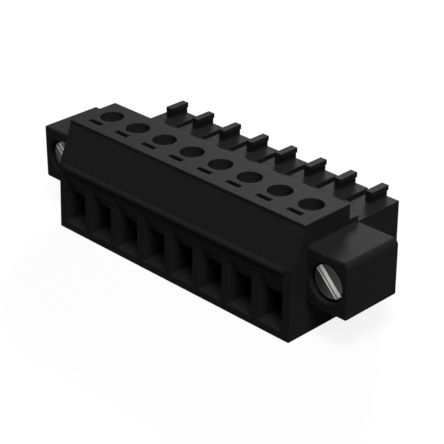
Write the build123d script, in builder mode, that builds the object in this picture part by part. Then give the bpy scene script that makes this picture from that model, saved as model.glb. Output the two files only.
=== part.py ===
from build123d import *
import os

# Eight-way pluggable screw terminal block with a screw flange at each end.
# Millimetres. X runs along the row of poles, -Y is the wire side, +Y the mating side, +Z is up.
# The origin lies at the centre of the underside of the whole part's box.

# row of poles
pole_count = 8
pole_pitch = 3.81
end_margin = 2.365
row_span = (pole_count - 1) * pole_pitch
body_half = row_span / 2 + end_margin

# depths, each measured from the wire-side face towards the mating side
top_front = 1.87
screw_axis_depth = 5.22
block_depth = 7.73
step_depth = 1.21
plug_reach = 6.92
plug_depth = block_depth + plug_reach
bead_radius = 0.24
bead_sink = 0.11
lip_out = bead_radius - bead_sink
front = -(plug_depth - lip_out) / 2
plug_end = front + plug_depth
block_back = front + block_depth

# heights
body_height = 11.1
brow_height = 0.38
band_low = 6.9
bead_height = 6.86
face_lean = 0.25
step_top = 9.53
plug_top = 8.91
plug_floor = 1.25

# wire entries
funnel_width = 3.0
funnel_low = 0.72
funnel_high = 6.4
funnel_depth = 0.8
throat_width = 2.4
throat_low = 1.03
throat_high = 4.1

# clamp chamber behind each wire entry
cage_width = 2.9
cage_depth = 3.0
cage_gap = 0.1
cage_lift = 2.2
cage_sheet = 0.4
cage_collar = 0.8
cage_base = 0.6
cage_round = 0.3
chamber_front_gap = 0.43
chamber_back_gap = 0.27

# contacts
bar_low = 4.35
bar_thick = 0.5
bar_gap = 0.05
bar_nose = 0.7
collar_gap = 0.2
contact_fit = 0.05
web_thick = 0.4
blade_thick = 0.3
blade_height = 1.8
blade_root_gap = 1.2
blade_nip_gap = 0.6
blade_mouth_gap = 1.1
blade_length = 5.9
blade_flare = 1.3
chamber_wall = 0.6

# contact channels through the plug
channel_width = 2.4
channel_low = 3.3
channel_high = 6.5
mouth_chamfer = 0.3

# clamp screws, size M2 with a plain round head
shaft_radius = 1.2
head_fit = 0.08
head_height = 0.95
head_lift = 0.15
thread_radius = 1.0
thread_fit = 0.05
tip_radius = 0.72
tip_height = 0.45
tip_gap = 0.02
blade_slot = 0.45
blade_slot_depth = 0.5

# test slots beside the screw holes
test_width = 1.75
test_length = 0.58
test_depth = 3.21
test_shift = -0.1

# coding tabs and the slots between them on top of the plug
tab_left = 0.27
tab_plate = 0.64
tab_head = 0.79
tab_front = 12.32
tab_height = 1.15
tab_head_height = 0.5
slot_left = -1.37
slot_width = 0.68
slot_front = 11.3
slot_depth = 1.2

# screw flanges
flange_width = 4.65
flange_front = 2.23
flange_depth = block_depth + step_depth - flange_front
flange_low = 3.25
flange_high = 8.87
flange_round_right = 0.6
flange_round_left = 0.2
flange_round_low = 0.2
flange_edge = 0.18
flange_fillet = 0.25

# captive flange screws, size M2.5
flange_screw_offset = 4.51
flange_screw_height = (flange_low + flange_high) / 2
recess_radius = 1.95
recess_depth = 1.9
flange_head_radius = 1.75
flange_head_inset = 0.48
seat_gap = 0.05
flange_thread_radius = 1.25
shank_radius = 1.08
shank_fit = 0.1
thread_out = 1.35
thread_well_depth = 1.0
thread_well_fit = 0.1
flange_slot = 0.85
flange_slot_depth = 0.75
flange_slot_tilt = 45
tip_chamfer = 0.2
head_chamfer = 0.12

# places that follow from the sizes
pole_x = [(i - (pole_count - 1) / 2) * pole_pitch for i in range(pole_count)]
screw_y = front + screw_axis_depth
flange_half = body_half + flange_width
flange_x = row_span / 2 + flange_screw_offset
flange_y0 = front + flange_front
flange_y1 = flange_y0 + flange_depth
chamber_width = cage_width + 2 * cage_gap
chamber_low = cage_base - cage_gap
cage_y0 = screw_y - cage_depth / 2
cage_y1 = screw_y + cage_depth / 2
chamber_y0 = cage_y0 - chamber_front_gap
chamber_y1 = cage_y1 + chamber_back_gap
bar_high = bar_low + bar_thick
collar_low = bar_high + collar_gap
cage_top = collar_low + cage_collar
chamber_high = cage_top + cage_lift + head_lift
head_low = chamber_high + head_lift
head_radius = shaft_radius - head_fit
window_width = cage_width - 2 * cage_sheet
bar_width = window_width - 2 * contact_fit - 2 * bar_gap
channel_height = channel_high - channel_low
web_y0 = chamber_y1 + chamber_wall
web_width = channel_width - 2 * contact_fit
blade_mid = (channel_low + channel_high) / 2


# housing: one moulding of block, plug, flanges and tabs
with BuildPart() as housing:
    with BuildSketch(Plane.YZ):
        with BuildLine():
            Polyline(
                (front, 0),
                (front + face_lean, band_low),
                (front + top_front, body_height - brow_height),
                (front + top_front, body_height),
                (block_back, body_height),
                (block_back, step_top),
                (block_back + step_depth, step_top),
                (block_back + step_depth, plug_top),
                (plug_end, plug_top),
                (plug_end, plug_floor),
                (block_back, plug_floor),
                (block_back, 0),
                close=True,
            )
        make_face()
    extrude(amount=body_half, both=True)

    # rounded bead that runs under the band between the end walls
    bead_reach = row_span / 2 + funnel_width / 2
    with BuildSketch(Plane.YZ):
        with Locations((front + bead_sink, bead_height)):
            Circle(bead_radius)
            with Locations((bead_radius, 0)):
                Rectangle(2 * bead_radius, 2 * bead_radius)
    extrude(amount=bead_reach, both=True)

    # flanges, rounded along their outer edges
    for way, round_top in ((-1, flange_round_left), (1, flange_round_right)):
        with BuildSketch(Plane.XZ.offset(-flange_y0)) as flange:
            with Locations((way * (flange_half - flange_width / 2), (flange_low + flange_high) / 2)):
                Rectangle(flange_width, flange_high - flange_low)
            for rim, size in ((-1, round_top), (0, flange_round_low)):
                fillet(flange.vertices().group_by(Axis.Y)[rim].sort_by(Axis.X, reverse=way > 0)[0], size)
        extrude(amount=-flange_depth)

    # soft wire-side outer edges of the flanges
    nose_edges = (
        housing.edges()
        .filter_by(Axis.Z)
        .filter_by(lambda e: abs(abs(e.center().X) - flange_half) < 0.01)
        .filter_by(lambda e: abs(e.center().Y - flange_y0) < 0.01)
    )
    fillet(nose_edges, flange_edge)

    # hollow rounding in the corner between each flange's top and the body
    for way in (-1, 1):
        with BuildSketch(Plane.XZ.offset(-(flange_y0 + flange_edge))):
            with Locations((way * (body_half + flange_fillet / 2), flange_high + flange_fillet / 2)):
                Rectangle(flange_fillet, flange_fillet)
            with Locations((way * (body_half + flange_fillet), flange_high + flange_fillet)):
                Circle(flange_fillet, mode=Mode.SUBTRACT)
        extrude(amount=-(flange_depth - flange_edge))

    # wire entries: sloped funnel, throat and the clamp chamber behind
    for x in pole_x:
        with BuildSketch(Plane.XZ.offset(-front)):
            with Locations((x, (funnel_low + funnel_high) / 2)):
                Rectangle(funnel_width, funnel_high - funnel_low)
        with BuildSketch(Plane.XZ.offset(-(front + funnel_depth))):
            with Locations((x, (throat_low + throat_high) / 2)):
                Rectangle(throat_width, throat_high - throat_low)
        loft(mode=Mode.SUBTRACT)
    with BuildSketch(Plane.XZ.offset(-(front + funnel_depth / 2))):
        with Locations(*[(x, (throat_low + throat_high) / 2) for x in pole_x]):
            Rectangle(throat_width, throat_high - throat_low)
    extrude(amount=-(chamber_y0 - front), mode=Mode.SUBTRACT)
    with BuildSketch(Plane.XY.offset(chamber_low)):
        with Locations(*[(x, (chamber_y0 + chamber_y1) / 2) for x in pole_x]):
            Rectangle(chamber_width, chamber_y1 - chamber_y0)
    extrude(amount=chamber_high - chamber_low, mode=Mode.SUBTRACT)

    # pocket in the wire-side wall for the nose of each current bar
    with BuildSketch(Plane.XZ.offset(-(chamber_y0 - bar_nose - bar_gap))):
        with Locations(*[(x, (bar_low + bar_high) / 2) for x in pole_x]):
            Rectangle(bar_width + 2 * bar_gap, bar_thick + 2 * bar_gap)
    extrude(amount=-(bar_nose + bar_gap), mode=Mode.SUBTRACT)

    # screwdriver shafts and test slots in the top
    with BuildSketch(Plane.XY.offset(body_height)):
        with Locations(*[(x, screw_y) for x in pole_x]):
            Circle(shaft_radius)
        with Locations(*[(x + test_shift, front + test_depth) for x in pole_x]):
            Rectangle(test_width, test_length)
    extrude(amount=-(body_height - chamber_high + cage_gap), mode=Mode.SUBTRACT)

    # contact channels, open at the mating face with bevelled mouths
    with BuildSketch(Plane.XZ.offset(-plug_end)):
        with Locations(*[(x, (channel_low + channel_high) / 2) for x in pole_x]):
            Rectangle(channel_width, channel_height)
    extrude(amount=plug_end - chamber_y1 + cage_gap, mode=Mode.SUBTRACT)
    for x in pole_x:
        with BuildSketch(Plane.XZ.offset(-plug_end)):
            with Locations((x, (channel_low + channel_high) / 2)):
                Rectangle(channel_width + 2 * mouth_chamfer, channel_height + 2 * mouth_chamfer)
        with BuildSketch(Plane.XZ.offset(-(plug_end - mouth_chamfer))):
            with Locations((x, (channel_low + channel_high) / 2)):
                Rectangle(channel_width, channel_height)
        loft(mode=Mode.SUBTRACT)

    # narrow slots in the top of the plug, open towards the mating side
    with BuildSketch(Plane.XY.offset(plug_top)):
        slot_mid_y = (front + slot_front + plug_end) / 2
        with Locations(*[(x + slot_left + slot_width / 2, slot_mid_y) for x in pole_x]):
            Rectangle(slot_width, plug_end - front - slot_front)
    extrude(amount=-slot_depth, mode=Mode.SUBTRACT)

    # the first slot opens into a rebate that takes off the left end of the plug's top
    with BuildSketch(Plane.XY.offset(plug_top)):
        rebate_x1 = pole_x[0] + slot_left + slot_width
        with Locations(((rebate_x1 - body_half) / 2, (block_back + step_depth + plug_end) / 2)):
            Rectangle(rebate_x1 + body_half, plug_end - block_back - step_depth)
    extrude(amount=-slot_depth, mode=Mode.SUBTRACT)

    # hooked coding tabs, one for each pole
    for x in pole_x:
        with BuildSketch(Plane.XZ.offset(-(front + tab_front))):
            with BuildLine():
                Polyline(
                    (x + tab_left, plug_top - cage_gap),
                    (x + tab_left, plug_top + tab_height),
                    (x + tab_left + tab_head, plug_top + tab_height),
                    (x + tab_left + tab_head, plug_top + tab_height - tab_head_height),
                    (x + tab_left + tab_plate, plug_top + tab_height - tab_head_height),
                    (x + tab_left + tab_plate, plug_top - cage_gap),
                    close=True,
                )
            make_face()
        extrude(amount=-(plug_end - front - tab_front))

    # stepped bores for the captive flange screws, with a well at the back that the thread can draw into
    for way in (-1, 1):
        with BuildSketch(Plane.XZ.offset(-flange_y0)):
            with Locations((way * flange_x, flange_screw_height)):
                Circle(recess_radius)
        extrude(amount=-recess_depth, mode=Mode.SUBTRACT)
        with BuildSketch(Plane.XZ.offset(-flange_y0)):
            with Locations((way * flange_x, flange_screw_height)):
                Circle(shank_radius + shank_fit)
        extrude(amount=-flange_depth, mode=Mode.SUBTRACT)
        with BuildSketch(Plane.XZ.offset(-flange_y1)):
            with Locations((way * flange_x, flange_screw_height)):
                Circle(flange_thread_radius + thread_well_fit)
        extrude(amount=thread_well_depth, mode=Mode.SUBTRACT)

# one contact: current bar, web and a fork of two spring blades
with BuildPart() as contact:
    with BuildSketch(Plane.XY.offset(bar_low)):
        bar_y0 = chamber_y0 - bar_nose
        with Locations((0, (bar_y0 + web_y0 + web_thick) / 2)):
            Rectangle(bar_width, web_y0 + web_thick - bar_y0)
    extrude(amount=bar_thick)
    with BuildSketch(Plane.XZ.offset(-web_y0)):
        with Locations((0, (channel_low + blade_mid + blade_height / 2) / 2)):
            Rectangle(web_width, blade_mid + blade_height / 2 - channel_low)
    extrude(amount=-web_thick)
    with BuildSketch(Plane.XY.offset(blade_mid - blade_height / 2)):
        root_x = (blade_root_gap + blade_thick) / 2
        nip_x = (blade_nip_gap + blade_thick) / 2
        mouth_x = (blade_mouth_gap + blade_thick) / 2
        nip_y = web_y0 + blade_length - blade_flare
        with BuildLine():
            root = Line((root_x, web_y0 + web_thick / 2), (root_x, web_y0 + 2 * web_thick))
            arm = Line(root @ 1, (nip_x, nip_y))
            Line(arm @ 1, (mouth_x, web_y0 + blade_length))
        trace(line_width=blade_thick)
        mirror(about=Plane.YZ)
    extrude(amount=blade_height)

# one clamp cage: bent strip with a threaded collar on top, open along Y
with BuildPart() as cage:
    with BuildSketch(Plane.XZ.offset(-cage_y0)) as ring:
        with Locations((0, (cage_base + cage_top) / 2)):
            Rectangle(cage_width, cage_top - cage_base)
        fillet(ring.vertices(), cage_round)
        with Locations((0, (cage_base + cage_sheet + collar_low) / 2)):
            Rectangle(window_width, collar_low - cage_base - cage_sheet, mode=Mode.SUBTRACT)
    extrude(amount=-cage_depth)
    with BuildSketch(Plane.XY.offset(cage_top)):
        with Locations((0, screw_y)):
            Circle(thread_radius + thread_fit)
    extrude(amount=-cage_collar, mode=Mode.SUBTRACT)

# one clamp screw: slotted cheese head, thread and bevelled tip
head_high = head_low + head_height
tip_low = bar_high + tip_gap
with BuildPart() as screw:
    with BuildSketch(Plane.XZ):
        with BuildLine():
            Polyline(
                (0, tip_low),
                (tip_radius, tip_low),
                (thread_radius, tip_low + tip_height),
                (thread_radius, head_low),
                (head_radius, head_low),
                (head_radius, head_high),
                (0, head_high),
                close=True,
            )
        make_face()
    revolve(axis=Axis.Z)
    with BuildSketch(Plane.XY.offset(head_high)):
        Rectangle(2 * head_radius, blade_slot)
    extrude(amount=-blade_slot_depth, mode=Mode.SUBTRACT)

# one flange screw: slotted head in the recess, shank and a thread that keeps it captive
seat_y = flange_y0 + recess_depth
head_y0 = flange_y0 + flange_head_inset
head_y1 = seat_y - seat_gap
thread_y0 = flange_y1 + seat_gap
thread_y1 = flange_y1 + thread_out
with BuildPart() as bolt:
    with BuildSketch(Plane.XY):
        with BuildLine():
            Polyline(
                (0, head_y0),
                (flange_head_radius, head_y0),
                (flange_head_radius, head_y1),
                (shank_radius, head_y1),
                (shank_radius, thread_y0),
                (flange_thread_radius, thread_y0),
                (flange_thread_radius, thread_y1 - tip_chamfer),
                (flange_thread_radius - tip_chamfer, thread_y1),
                (0, thread_y1),
                close=True,
            )
        make_face()
    revolve(axis=Axis.Y)
    chamfer(bolt.edges().filter_by(GeomType.CIRCLE).sort_by(Axis.Y)[0], head_chamfer)
    with BuildSketch(Plane.XZ.offset(-head_y0)):
        Rectangle(2 * flange_head_radius, flange_slot, rotation=-flange_slot_tilt)
    extrude(amount=-flange_slot_depth, mode=Mode.SUBTRACT)

os.makedirs("parts", exist_ok=True)
housing.part.label = "housing"
export_step(housing.part, "parts/housing.step")

for i, x in enumerate(pole_x):
    one_contact = contact.part.moved(Location((x, 0, 0)))
    one_contact.label = f"contact_{i + 1}"
    export_step(one_contact, f"parts/contact_{i + 1}.step")
    one_cage = cage.part.moved(Location((x, 0, 0)))
    one_cage.label = f"clamp_cage_{i + 1}"
    export_step(one_cage, f"parts/clamp_cage_{i + 1}.step")
    one_screw = screw.part.moved(Location((x, screw_y, 0)))
    one_screw.label = f"clamp_screw_{i + 1}"
    export_step(one_screw, f"parts/clamp_screw_{i + 1}.step")

for side_name, way in (("left", -1), ("right", 1)):
    one_bolt = bolt.part.moved(Location((way * flange_x, 0, flange_screw_height)))
    one_bolt.label = f"flange_screw_{side_name}"
    export_step(one_bolt, f"parts/flange_screw_{side_name}.step")
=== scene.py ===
import math

import bmesh
import bpy
from mathutils import Matrix, Vector


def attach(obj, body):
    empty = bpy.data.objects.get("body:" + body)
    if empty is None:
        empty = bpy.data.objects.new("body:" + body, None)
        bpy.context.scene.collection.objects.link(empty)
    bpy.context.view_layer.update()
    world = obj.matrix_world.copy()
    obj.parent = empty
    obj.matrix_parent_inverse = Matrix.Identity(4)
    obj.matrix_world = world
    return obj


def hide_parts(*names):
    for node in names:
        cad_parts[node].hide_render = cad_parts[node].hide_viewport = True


# An eight-way pluggable screw terminal block in black plastic, seen from its wire side.
# The housing, contacts and clamp cages keep their CAD shapes and get their finishes here.
# The screws are made again with cut threads and stand for the plain ones of the model.

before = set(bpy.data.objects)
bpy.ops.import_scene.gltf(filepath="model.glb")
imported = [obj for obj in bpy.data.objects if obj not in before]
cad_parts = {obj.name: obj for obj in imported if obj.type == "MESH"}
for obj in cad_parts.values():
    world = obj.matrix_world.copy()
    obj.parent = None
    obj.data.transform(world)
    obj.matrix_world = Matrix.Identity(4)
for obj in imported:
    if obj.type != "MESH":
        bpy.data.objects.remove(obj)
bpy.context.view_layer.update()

MM = 0.001

# row of poles
POLE_COUNT = 8
POLE_PITCH = 3.81 * MM
POLE_X = [(i - (POLE_COUNT - 1) / 2) * POLE_PITCH for i in range(POLE_COUNT)]

# clamp screws, M2: plain thread between the bevelled tip and the head
CLAMP_AXIS_Y = -2.04 * MM
CLAMP_THREAD_LOW = 5.32 * MM
CLAMP_THREAD_HIGH = 8.35 * MM

# the head is kept above the first cut and the tip below the second, where the cut thread starts
CLAMP_HEAD_CUT = CLAMP_THREAD_HIGH - 0.002 * MM
CLAMP_TIP_CUT = CLAMP_THREAD_LOW - 0.06 * MM

# captive flange screws, M2.5: thread behind the flange
FLANGE_AXIS_X = 17.845 * MM
FLANGE_AXIS_Z = 6.06 * MM
FLANGE_THREAD_START = 1.73 * MM
FLANGE_THREAD_END = 3.03 * MM
FLANGE_HEAD_FRONT = -4.55 * MM

# marks in the finish of a flange screw, in mm, among them a painted shadow line in the slot and a painted
# highlight ring near the rim: where each fade begins and where it is complete
SLOT_SIDE = (0.43, 0.45)
SLOT_MOUTH = (0.01, 0.03)
# painted shadow line along the slot, by depth below the head's face
PAINTED_SLOT_SHADOW_START = (0.1, 0.14)
PAINTED_SLOT_SHADOW_END = (0.3, 0.4)
# painted highlight ring near the head's rim
PAINTED_RIM_HIGHLIGHT_START = (1.34, 1.42)
PAINTED_RIM_HIGHLIGHT_END = (1.55, 1.62)
BARE_THREAD = (FLANGE_THREAD_START / MM - 0.06, FLANGE_THREAD_START / MM - 0.02)

# meshes of the screws
WELD_REACH = 0.0005 * MM
CRISP_ANGLE = math.radians(32)

# how fast a spot counts as edge when its rounded normal leaves the flat one
EDGE_GAIN = 6

# profile of a thread, as shares of its wave: flat at the root, then the flank, the rest is crest
ROOT_SHARE = 0.12
FLANK_SHARE = 0.7


# nodes as plain expressions

class Wire:
    """One node socket. Arithmetic on it lays Math nodes."""

    def __init__(self, bench, socket):
        self.bench = bench
        self.socket = socket

    def _math(self, operation, *values):
        return self.bench.add("ShaderNodeMath", {"operation": operation}, dict(enumerate(values)))[0]

    def __add__(self, other):
        return self._math("ADD", self, other)

    def __radd__(self, other):
        return self._math("ADD", other, self)

    def __sub__(self, other):
        return self._math("SUBTRACT", self, other)

    def __rsub__(self, other):
        return self._math("SUBTRACT", other, self)

    def __mul__(self, other):
        return self._math("MULTIPLY", self, other)

    def __rmul__(self, other):
        return self._math("MULTIPLY", other, self)

    def __truediv__(self, other):
        return self._math("DIVIDE", self, other)

    def __abs__(self):
        return self._math("ABSOLUTE", self)

    def root(self):
        return self._math("SQRT", self)

    def part(self):
        return self._math("FRACT", self)

    def way(self):
        return self._math("SIGN", self)

    def at_most(self, other):
        return self._math("MINIMUM", self, other)

    def at_least(self, other):
        return self._math("MAXIMUM", self, other)

    def between(self, low, high):
        return self.at_least(low).at_most(high)


class Outlets:
    """The outputs of one laid node, by number or name."""

    def __init__(self, bench, node):
        self.bench = bench
        self.node = node

    def __getitem__(self, key):
        return Wire(self.bench, self.node.outputs[key])


class Bench:
    """Lays nodes into one tree, for a finish or for a shape."""

    def __init__(self, tree):
        self.tree = tree

    def add(self, kind, settings=None, sockets=None):
        """One node: its settings come first, then the values or links of its sockets."""
        node = self.tree.nodes.new(kind)
        for name, value in (settings or {}).items():
            setattr(node, name, value)
        for key, value in (sockets or {}).items():
            if isinstance(value, Wire):
                self.tree.links.new(value.socket, node.inputs[key])
            else:
                node.inputs[key].default_value = value
        return Outlets(self, node)

    def triple(self, x, y, z):
        return self.add("ShaderNodeCombineXYZ", None, {0: x, 1: y, 2: z})[0]

    def parts_of(self, vector):
        laid = self.add("ShaderNodeSeparateXYZ", None, {0: vector})
        return laid[0], laid[1], laid[2]

    def grown(self, vector, factor):
        return self.add("ShaderNodeVectorMath", {"operation": "SCALE"}, {0: vector, "Scale": factor})[0]

    def noise(self, place, scale, detail, rough):
        sockets = {"Vector": place, "Scale": scale, "Detail": detail, "Roughness": rough}
        return self.add("ShaderNodeTexNoise", None, sockets)["Fac"]

    def bumped(self, normal, height, strength, depth):
        """A normal with a fine relief on it."""
        sockets = {"Strength": strength, "Distance": depth, "Height": height, "Normal": normal}
        return self.add("ShaderNodeBump", None, sockets)["Normal"]

    def shade(self, factor, dark, light):
        return self.blend(factor, (*dark, 1), (*light, 1))

    def blend(self, factor, first, second):
        return self.add("ShaderNodeMix", {"data_type": "RGBA"}, {"Factor": factor, 6: first, 7: second})[2]


def ramp_up(value, low, high):
    """0 below low, 1 above high, straight between."""
    return ((value - low) * (1 / (high - low))).between(0, 1)


def band(value, start, end):
    """1 between two fades, 0 outside them."""
    return ramp_up(value, *start) * (1 - ramp_up(value, *end))


def finish(name):
    """A new material with an empty tree, and the bench to lay it on."""
    material = bpy.data.materials.new(name)
    material.use_nodes = True
    material.node_tree.nodes.clear()
    return material, Bench(material.node_tree)


def place_in_mm(bench):
    coordinates = bench.add("ShaderNodeTexCoord")["Object"]
    return bench.grown(coordinates, 1 / MM)


def close_finish(bench, sockets):
    """One Principled shader on the output."""
    shader = bench.add("ShaderNodeBsdfPrincipled", None, sockets)
    bench.add("ShaderNodeOutputMaterial", None, {"Surface": shader["BSDF"]})


def soft_edges(bench, radius):
    """The normal rounded over an edge, and how much a spot is edge, 0 to 1."""
    rounded = bench.add("ShaderNodeBevel", {"samples": 8}, {"Radius": radius})["Normal"]
    flat = bench.add("ShaderNodeNewGeometry")["Normal"]
    same = bench.add("ShaderNodeVectorMath", {"operation": "DOT_PRODUCT"}, {0: rounded, 1: flat})["Value"]
    return rounded, ((1 - same) * EDGE_GAIN).between(0, 1)


# finishes

def moulded_black():
    """Glass-filled black moulding: fine matt grain, faint flow shades, edges rubbed a little smoother."""
    material, bench = finish("moulded_black")
    spot = place_in_mm(bench)
    rounded, edge = soft_edges(bench, radius=0.09 * MM)
    flow = bench.noise(spot, scale=0.22, detail=3.0, rough=0.55)
    cloud = bench.noise(spot, scale=1.7, detail=4.0, rough=0.6)
    grain = bench.noise(spot, scale=13.0, detail=3.0, rough=0.65)
    tone = (flow * 0.45 + cloud * 0.35 + grain * 0.2).between(0, 1)
    colour = bench.shade(tone, dark=(0.0175, 0.0178, 0.0185), light=(0.0225, 0.0228, 0.0236))
    rough = (0.44 + cloud * 0.09 + grain * 0.08 - edge * 0.1).between(0.2, 0.9)
    relief = bench.bumped(rounded, grain, strength=0.35, depth=0.012 * MM)
    close_finish(bench, {
        "Base Color": colour,
        "Roughness": rough,
        "Normal": relief,
        "IOR": 1.5,
        "Specular IOR Level": 0.006,
    })
    return material


def turned_marks(bench, across, along):
    """Fine rings left by the lathe: across is the distance from the axis in mm, along runs with it."""
    rings = bench.noise(bench.triple(across, along * 0.35, 0.0), scale=16.0, detail=2.0, rough=0.6)
    broad = bench.noise(bench.triple(across, along * 0.5, 0.0), scale=3.0, detail=2.0, rough=0.5)
    return rings, broad


def plated_screw(name, centre):
    """Zinc-plated steel with turned rings. centre gives the distances from the screw's axis."""
    material, bench = finish(name)
    spot = place_in_mm(bench)
    first, second, along = centre(bench, *bench.parts_of(spot))
    across = (first * first + second * second).root()
    rings, broad = turned_marks(bench, across, along)
    stain = bench.noise(spot, scale=1.3, detail=4.0, rough=0.6)
    rounded, edge = soft_edges(bench, radius=0.05 * MM)
    tone = (stain * 0.7 + broad * 0.3).between(0, 1)
    colour = bench.shade(tone, dark=(0.55, 0.55, 0.54), light=(0.82, 0.82, 0.80))
    rough = (0.46 + rings * 0.18 + stain * 0.12 - edge * 0.08).between(0.2, 0.9)
    relief = bench.bumped(rounded, rings, strength=0.4, depth=0.006 * MM)
    close_finish(bench, {"Base Color": colour, "Metallic": 1.0, "Roughness": rough, "Normal": relief})
    return material


def screw_with_painted_light(name, centre):
    """Plated head with turned rings, coloured dark as painted shade. The slot is coloured near-white as a
    painted reflection, with a painted shadow line in it and a painted highlight ring near the rim. The thread
    is bright steel.
    """
    material, bench = finish(name)
    spot = place_in_mm(bench)
    x, y, z = bench.parts_of(spot)
    first, second, along = centre(bench, x, y, z)
    across = (first * first + second * second).root()
    rings, broad = turned_marks(bench, across, along)
    stain = bench.noise(spot, scale=1.3, detail=4.0, rough=0.6)
    rounded, edge = soft_edges(bench, radius=0.05 * MM)
    # the slot runs at 45 degrees, the same way on both screws
    off_slot = abs((x - x.way() * (FLANGE_AXIS_X / MM) + second) * math.sqrt(0.5))
    depth = along - FLANGE_HEAD_FRONT / MM
    behind_head = ramp_up(along, *BARE_THREAD)
    in_slot = (1 - ramp_up(off_slot, *SLOT_SIDE)) * ramp_up(depth, *SLOT_MOUTH) * (1 - behind_head)
    # painted highlight: a lighter ring near the head's rim, added to the turned rings
    rim = band(across, PAINTED_RIM_HIGHLIGHT_START, PAINTED_RIM_HIGHLIGHT_END)
    rings_and_painted_rim_tone = (rings * 0.5 + broad * 0.3 + rim * 0.8).between(0, 1)
    # the head's plating coloured dark: painted shade
    face = bench.shade(rings_and_painted_rim_tone, dark=(0.03, 0.03, 0.031), light=(0.1, 0.1, 0.101))
    # painted shadow: a darker band a little below the slot's mouth
    painted_slot_shadow = band(depth, PAINTED_SLOT_SHADOW_START, PAINTED_SLOT_SHADOW_END)
    slot_stain_and_painted_shadow = (painted_slot_shadow * 0.9 + stain * 0.08).between(0, 1)
    # the slot coloured near-white as a painted reflection, darkened along the painted shadow line
    cut = bench.shade(slot_stain_and_painted_shadow, (0.96, 0.96, 0.95), (0.3, 0.3, 0.3))
    steel = bench.shade(stain, dark=(0.42, 0.42, 0.41), light=(0.62, 0.62, 0.60))
    colour = bench.blend(behind_head, bench.blend(in_slot, face, cut), steel)
    rough = (0.26 + rings * 0.16 + stain * 0.12 - edge * 0.05 + in_slot * 0.25).between(0.1, 0.95)
    metal = (0.5 + behind_head * 0.5 + in_slot * 0.5).between(0, 1)
    relief = bench.bumped(rounded, rings, strength=0.4, depth=0.006 * MM)
    close_finish(bench, {"Base Color": colour, "Metallic": metal, "Roughness": rough, "Normal": relief})
    return material


def stamped_nickel():
    """Bent strip of the clamp cages: rolled grain along the strip, dull nickel."""
    material, bench = finish("stamped_nickel")
    spot = place_in_mm(bench)
    x, y, z = bench.parts_of(spot)
    rolled = bench.noise(bench.triple(x * 9.0, y * 0.8, z * 9.0), scale=1.6, detail=3.0, rough=0.6)
    stain = bench.noise(spot, scale=1.1, detail=3.0, rough=0.6)
    rounded, edge = soft_edges(bench, radius=0.07 * MM)
    colour = bench.shade(stain, dark=(0.42, 0.41, 0.38), light=(0.62, 0.61, 0.58))
    rough = (0.28 + rolled * 0.2 + stain * 0.08 - edge * 0.08).between(0.12, 0.8)
    relief = bench.bumped(rounded, rolled, strength=0.35, depth=0.006 * MM)
    close_finish(bench, {"Base Color": colour, "Metallic": 1.0, "Roughness": rough, "Normal": relief})
    return material


def tinned_contact():
    """Tin over copper alloy: soft grey with cloudy patches and a dull shine."""
    material, bench = finish("tinned_contact")
    spot = place_in_mm(bench)
    cloud = bench.noise(spot, scale=1.8, detail=4.0, rough=0.62)
    pits = bench.noise(spot, scale=15.0, detail=2.0, rough=0.5)
    rounded, edge = soft_edges(bench, radius=0.05 * MM)
    tone = (cloud * 0.8 + pits * 0.2).between(0, 1)
    colour = bench.shade(tone, dark=(0.50, 0.50, 0.49), light=(0.72, 0.72, 0.70))
    rough = (0.34 + cloud * 0.16 + pits * 0.06 - edge * 0.06).between(0.15, 0.8)
    relief = bench.bumped(rounded, pits, strength=0.25, depth=0.006 * MM)
    close_finish(bench, {"Base Color": colour, "Metallic": 1.0, "Roughness": rough, "Normal": relief})
    return material


# cut threads

def thread_tree():
    """A closed rod with a helical V thread, standing on the origin along Z."""
    tree = bpy.data.node_groups.new("cut_thread", "GeometryNodeTree")
    face = tree.interface
    face.new_socket("Geometry", in_out="INPUT", socket_type="NodeSocketGeometry")
    sizes = {}
    for label, kind, value in (
        ("Pitch", "NodeSocketFloat", 0.4 * MM),
        ("Crest radius", "NodeSocketFloat", 1.0 * MM),
        ("Root radius", "NodeSocketFloat", 0.8 * MM),
        ("Length", "NodeSocketFloat", 2.0 * MM),
        ("End chamfer", "NodeSocketFloat", 0.1 * MM),
        ("Steps round", "NodeSocketInt", 40),
        ("Steps along", "NodeSocketInt", 50),
        ("Finish", "NodeSocketMaterial", None),
    ):
        socket = face.new_socket(label, in_out="INPUT", socket_type=kind)
        if value is not None:
            socket.default_value = value
        sizes[label] = socket.identifier
    face.new_socket("Geometry", in_out="OUTPUT", socket_type="NodeSocketGeometry")
    bench = Bench(tree)
    given = bench.add("NodeGroupInput")
    rod = bench.add("GeometryNodeMeshCylinder", {"fill_type": "TRIANGLE_FAN"}, {
        "Vertices": given["Steps round"],
        "Side Segments": given["Steps along"],
        "Radius": 1.0,
        "Depth": given["Length"],
    })
    place = bench.add("GeometryNodeInputPosition")[0]
    x, y, z = bench.parts_of(place)
    height = z + given["Length"] * 0.5
    turn = bench.add("ShaderNodeMath", {"operation": "ARCTAN2"}, {0: y, 1: x})[0] * (0.5 / math.pi)
    wave = (height / given["Pitch"] - turn).part()
    flank = 1 - abs(wave * 2 - 1)
    ridge = ((flank - ROOT_SHARE) * (1 / FLANK_SHARE)).between(0, 1)
    radius = given["Root radius"] + ridge * (given["Crest radius"] - given["Root radius"])
    from_end = height.at_most(given["Length"] - height)
    radius = radius.at_most(given["Crest radius"] - given["End chamfer"] + from_end)
    moved = bench.add("GeometryNodeSetPosition", None, {
        "Geometry": rod["Mesh"],
        "Position": bench.triple(x * radius, y * radius, height),
    })
    plain = bench.add("GeometryNodeRealizeInstances", None, {"Geometry": moved[0]})
    dressed = bench.add("GeometryNodeSetMaterial", None, {"Geometry": plain[0], "Material": given["Finish"]})
    bench.add("NodeGroupOutput", None, {0: dressed[0]})
    return tree, sizes


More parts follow.
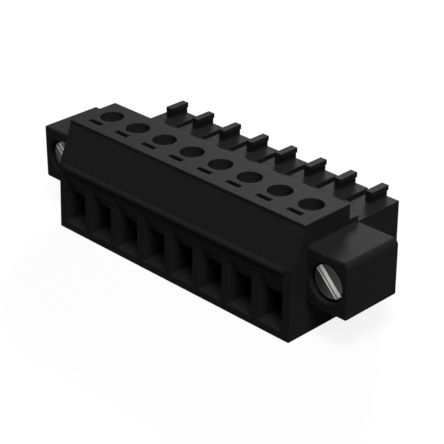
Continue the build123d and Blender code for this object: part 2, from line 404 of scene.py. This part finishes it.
def grown_mesh(tree, sizes, values):
    """The plain mesh that a tree gives for these sizes."""
    seed = bpy.data.objects.new("seed", bpy.data.meshes.new("seed"))
    bpy.context.scene.collection.objects.link(seed)
    modifier = seed.modifiers.new("grow", "NODES")
    modifier.node_group = tree
    for label, value in values.items():
        modifier[sizes[label]] = value
    bpy.context.view_layer.update()
    seen = seed.evaluated_get(bpy.context.evaluated_depsgraph_get())
    mesh = bpy.data.meshes.new_from_object(seen)
    seed.modifiers.remove(modifier)
    bpy.data.objects.remove(seed)
    return mesh


def kept_side(node, spot, outward):
    """A merged copy of a CAD node, cut at spot and closed there. What lies along outward is dropped."""
    shape = bmesh.new()
    shape.from_mesh(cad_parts[node].data)
    bmesh.ops.remove_doubles(shape, verts=shape.verts, dist=WELD_REACH)
    everything = shape.verts[:] + shape.edges[:] + shape.faces[:]
    bmesh.ops.bisect_plane(shape, geom=everything, plane_co=spot, plane_no=outward, clear_outer=True)
    rim = [e for e in shape.edges if e.is_boundary]
    bmesh.ops.edgeloop_fill(shape, edges=rim)
    bmesh.ops.recalc_face_normals(shape, faces=shape.faces)
    return shape


def coat(mesh, material):
    """One material on every face."""
    mesh.materials.clear()
    mesh.materials.append(material)
    for face in mesh.polygons:
        face.material_index = 0


def one_piece(name, shapes, material):
    """One object at the origin from several closed shapes, smooth with crisp corners."""
    whole = bmesh.new()
    for shape in shapes:
        if isinstance(shape, bmesh.types.BMesh):
            part = bpy.data.meshes.new("part")
            shape.to_mesh(part)
            shape.free()
        else:
            part = shape
        whole.from_mesh(part)
        bpy.data.meshes.remove(part)
    mesh = bpy.data.meshes.new(name)
    whole.to_mesh(mesh)
    whole.free()
    # the normals that the CAD mesh brings along don't fit it any more once it is cut
    stale = mesh.attributes.get("custom_normal")
    if stale:
        mesh.attributes.remove(stale)
    coat(mesh, material)
    mesh.shade_smooth()
    mesh.set_sharp_from_angle(angle=CRISP_ANGLE)
    piece = bpy.data.objects.new(name, mesh)
    bpy.context.scene.collection.objects.link(piece)
    return piece


def clamp_screws(tree, sizes, material):
    # laid from the tip's cut, a thread of this length ends 0.058 mm short of the head's cut
    length = CLAMP_THREAD_HIGH - CLAMP_THREAD_LOW
    for i, x in enumerate(POLE_X):
        node = f"clamp_screw_{i + 1}"
        head = kept_side(node, (0, 0, CLAMP_HEAD_CUT), (0, 0, -1))
        tip = kept_side(node, (0, 0, CLAMP_TIP_CUT), (0, 0, 1))
        thread = grown_mesh(tree, sizes, {
            "Pitch": 0.4 * MM,
            "Crest radius": 1.0 * MM,
            "Root radius": 0.78 * MM,
            "Length": length,
            "End chamfer": 0.2 * MM,
            "Steps round": 32,
            "Steps along": 76,
            "Finish": material,
        })
        thread.transform(Matrix.Translation((x, CLAMP_AXIS_Y, CLAMP_TIP_CUT)))
        screw = one_piece(f"slotted_screw_{i + 1}", [head, tip, thread], material)
        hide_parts(node)
        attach(screw, node)


def flange_screws(tree, sizes, material):
    length = FLANGE_THREAD_END - FLANGE_THREAD_START
    for side, way in (("left", -1), ("right", 1)):
        node = f"flange_screw_{side}"
        head = kept_side(node, (0, FLANGE_THREAD_START, 0), (0, 1, 0))
        thread = grown_mesh(tree, sizes, {
            "Pitch": 0.45 * MM,
            "Crest radius": 1.25 * MM,
            "Root radius": 1.0 * MM,
            "Length": length,
            "End chamfer": 0.22 * MM,
            "Steps round": 48,
            "Steps along": 36,
            "Finish": material,
        })
        thread.transform(Matrix.Rotation(-math.pi / 2, 4, "X"))
        thread.transform(Matrix.Translation((way * FLANGE_AXIS_X, FLANGE_THREAD_START, FLANGE_AXIS_Z)))
        screw = one_piece(f"captive_screw_{side}", [head, thread], material)
        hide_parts(node)
        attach(screw, node)


# finishes on the pieces

def clamp_centre(bench, x, y, z):
    """Distances in mm from the axis of the nearest clamp screw, and the height."""
    across = ((x * (MM / POLE_PITCH)).part() - 0.5) * (POLE_PITCH / MM)
    return across, y - CLAMP_AXIS_Y / MM, z


def flange_centre(bench, x, y, z):
    """Distances in mm from the axis of the nearer flange screw, and the depth."""
    return abs(x) - FLANGE_AXIS_X / MM, z - FLANGE_AXIS_Z / MM, y


black = moulded_black()
nickel = stamped_nickel()
tin = tinned_contact()
clamp_plating = plated_screw("clamp_screw_plating", clamp_centre)
flange_plating = screw_with_painted_light("flange_screw_plating", flange_centre)

coat(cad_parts["housing"].data, black)
for i in range(POLE_COUNT):
    coat(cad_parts[f"clamp_cage_{i + 1}"].data, nickel)
    coat(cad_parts[f"contact_{i + 1}"].data, tin)

cut_thread, thread_sizes = thread_tree()
clamp_screws(cut_thread, thread_sizes, clamp_plating)
flange_screws(cut_thread, thread_sizes, flange_plating)


# studio, in metres, watts and degrees

FLOOR_GLOW = 0.87
FLOOR_REACH = 3.0
LAMP_DISTANCE = 0.5
CAMERA_PLACE = (96.13724 * MM, -95.43144 * MM, 75.24220 * MM)
CAMERA_DOWN = 27.883010
CAMERA_TURN = 45.191085


def seen_rays(bench):
    """1 for rays that show the background: straight to the camera, by gloss or through glass."""
    rays = bench.add("ShaderNodeLightPath")
    return (rays["Is Camera Ray"] + rays["Is Glossy Ray"] + rays["Is Transmission Ray"]).at_most(1)


def pale_floor():
    """A sheet that looks white and still takes the shadow of the block."""
    material, bench = finish("pale_floor")
    spot = bench.add("ShaderNodeTexCoord")["Object"]
    paper = bench.noise(spot, scale=40.0, detail=2.0, rough=0.5)
    close_finish(bench, {
        "Base Color": bench.shade(paper, dark=(0.145, 0.145, 0.145), light=(0.155, 0.155, 0.155)),
        "Roughness": 1.0,
        "Specular IOR Level": 0.0,
        "Emission Color": (1, 1, 1, 1),
        "Emission Strength": seen_rays(bench) * FLOOR_GLOW,
    })
    corners = [(x * FLOOR_REACH, y * FLOOR_REACH, 0) for x, y in ((-1, -1), (1, -1), (1, 1), (-1, 1))]
    mesh = bpy.data.meshes.new("floor")
    mesh.from_pydata(corners, [], [(0, 1, 2, 3)])
    mesh.materials.append(material)
    floor = bpy.data.objects.new("floor", mesh)
    bpy.context.scene.collection.objects.link(floor)


def white_room():
    world = bpy.data.worlds.new("white_room")
    bpy.context.scene.world = world
    world.use_nodes = True
    world.node_tree.nodes.clear()
    bench = Bench(world.node_tree)
    sky = bench.add("ShaderNodeBackground", None, {"Color": (1, 1, 1, 1), "Strength": seen_rays(bench)})
    bench.add("ShaderNodeOutputWorld", None, {"Surface": sky[0]})


def soft_lamp(name, turn, rise, size, power):
    """A soft box that looks at the middle of the block. turn is measured from +X, rise from the floor."""
    lamp = bpy.data.lights.new(name, "AREA")
    lamp.shape = "SQUARE"
    lamp.size = size
    lamp.energy = power
    holder = bpy.data.objects.new(name, lamp)
    middle = Vector((0, 0, 5 * MM))
    turn = math.radians(turn)
    rise = math.radians(rise)
    toward = Vector((math.cos(turn) * math.cos(rise), math.sin(turn) * math.cos(rise), math.sin(rise)))
    holder.location = middle + toward * LAMP_DISTANCE
    holder.rotation_euler = (-toward).to_track_quat("-Z", "Y").to_euler()
    bpy.context.scene.collection.objects.link(holder)


def viewpoint():
    """The camera at the photograph's viewing angle."""
    camera = bpy.data.cameras.new("viewpoint")
    camera.sensor_width = 36
    camera.lens = 128.50017
    camera.clip_start = 0.001
    camera.clip_end = 20
    holder = bpy.data.objects.new("viewpoint", camera)
    holder.location = CAMERA_PLACE
    holder.rotation_euler = (math.radians(90 - CAMERA_DOWN), 0, math.radians(CAMERA_TURN))
    bpy.context.scene.collection.objects.link(holder)
    bpy.context.scene.camera = holder


pale_floor()
white_room()
soft_lamp("back_key", turn=125, rise=22, size=0.14, power=2.55)
soft_lamp("front_high", turn=322, rise=70, size=0.22, power=1.5)
soft_lamp("right_fill", turn=340, rise=42, size=0.22, power=0.62)
viewpoint()
bpy.context.scene.view_settings.view_transform = "Standard"
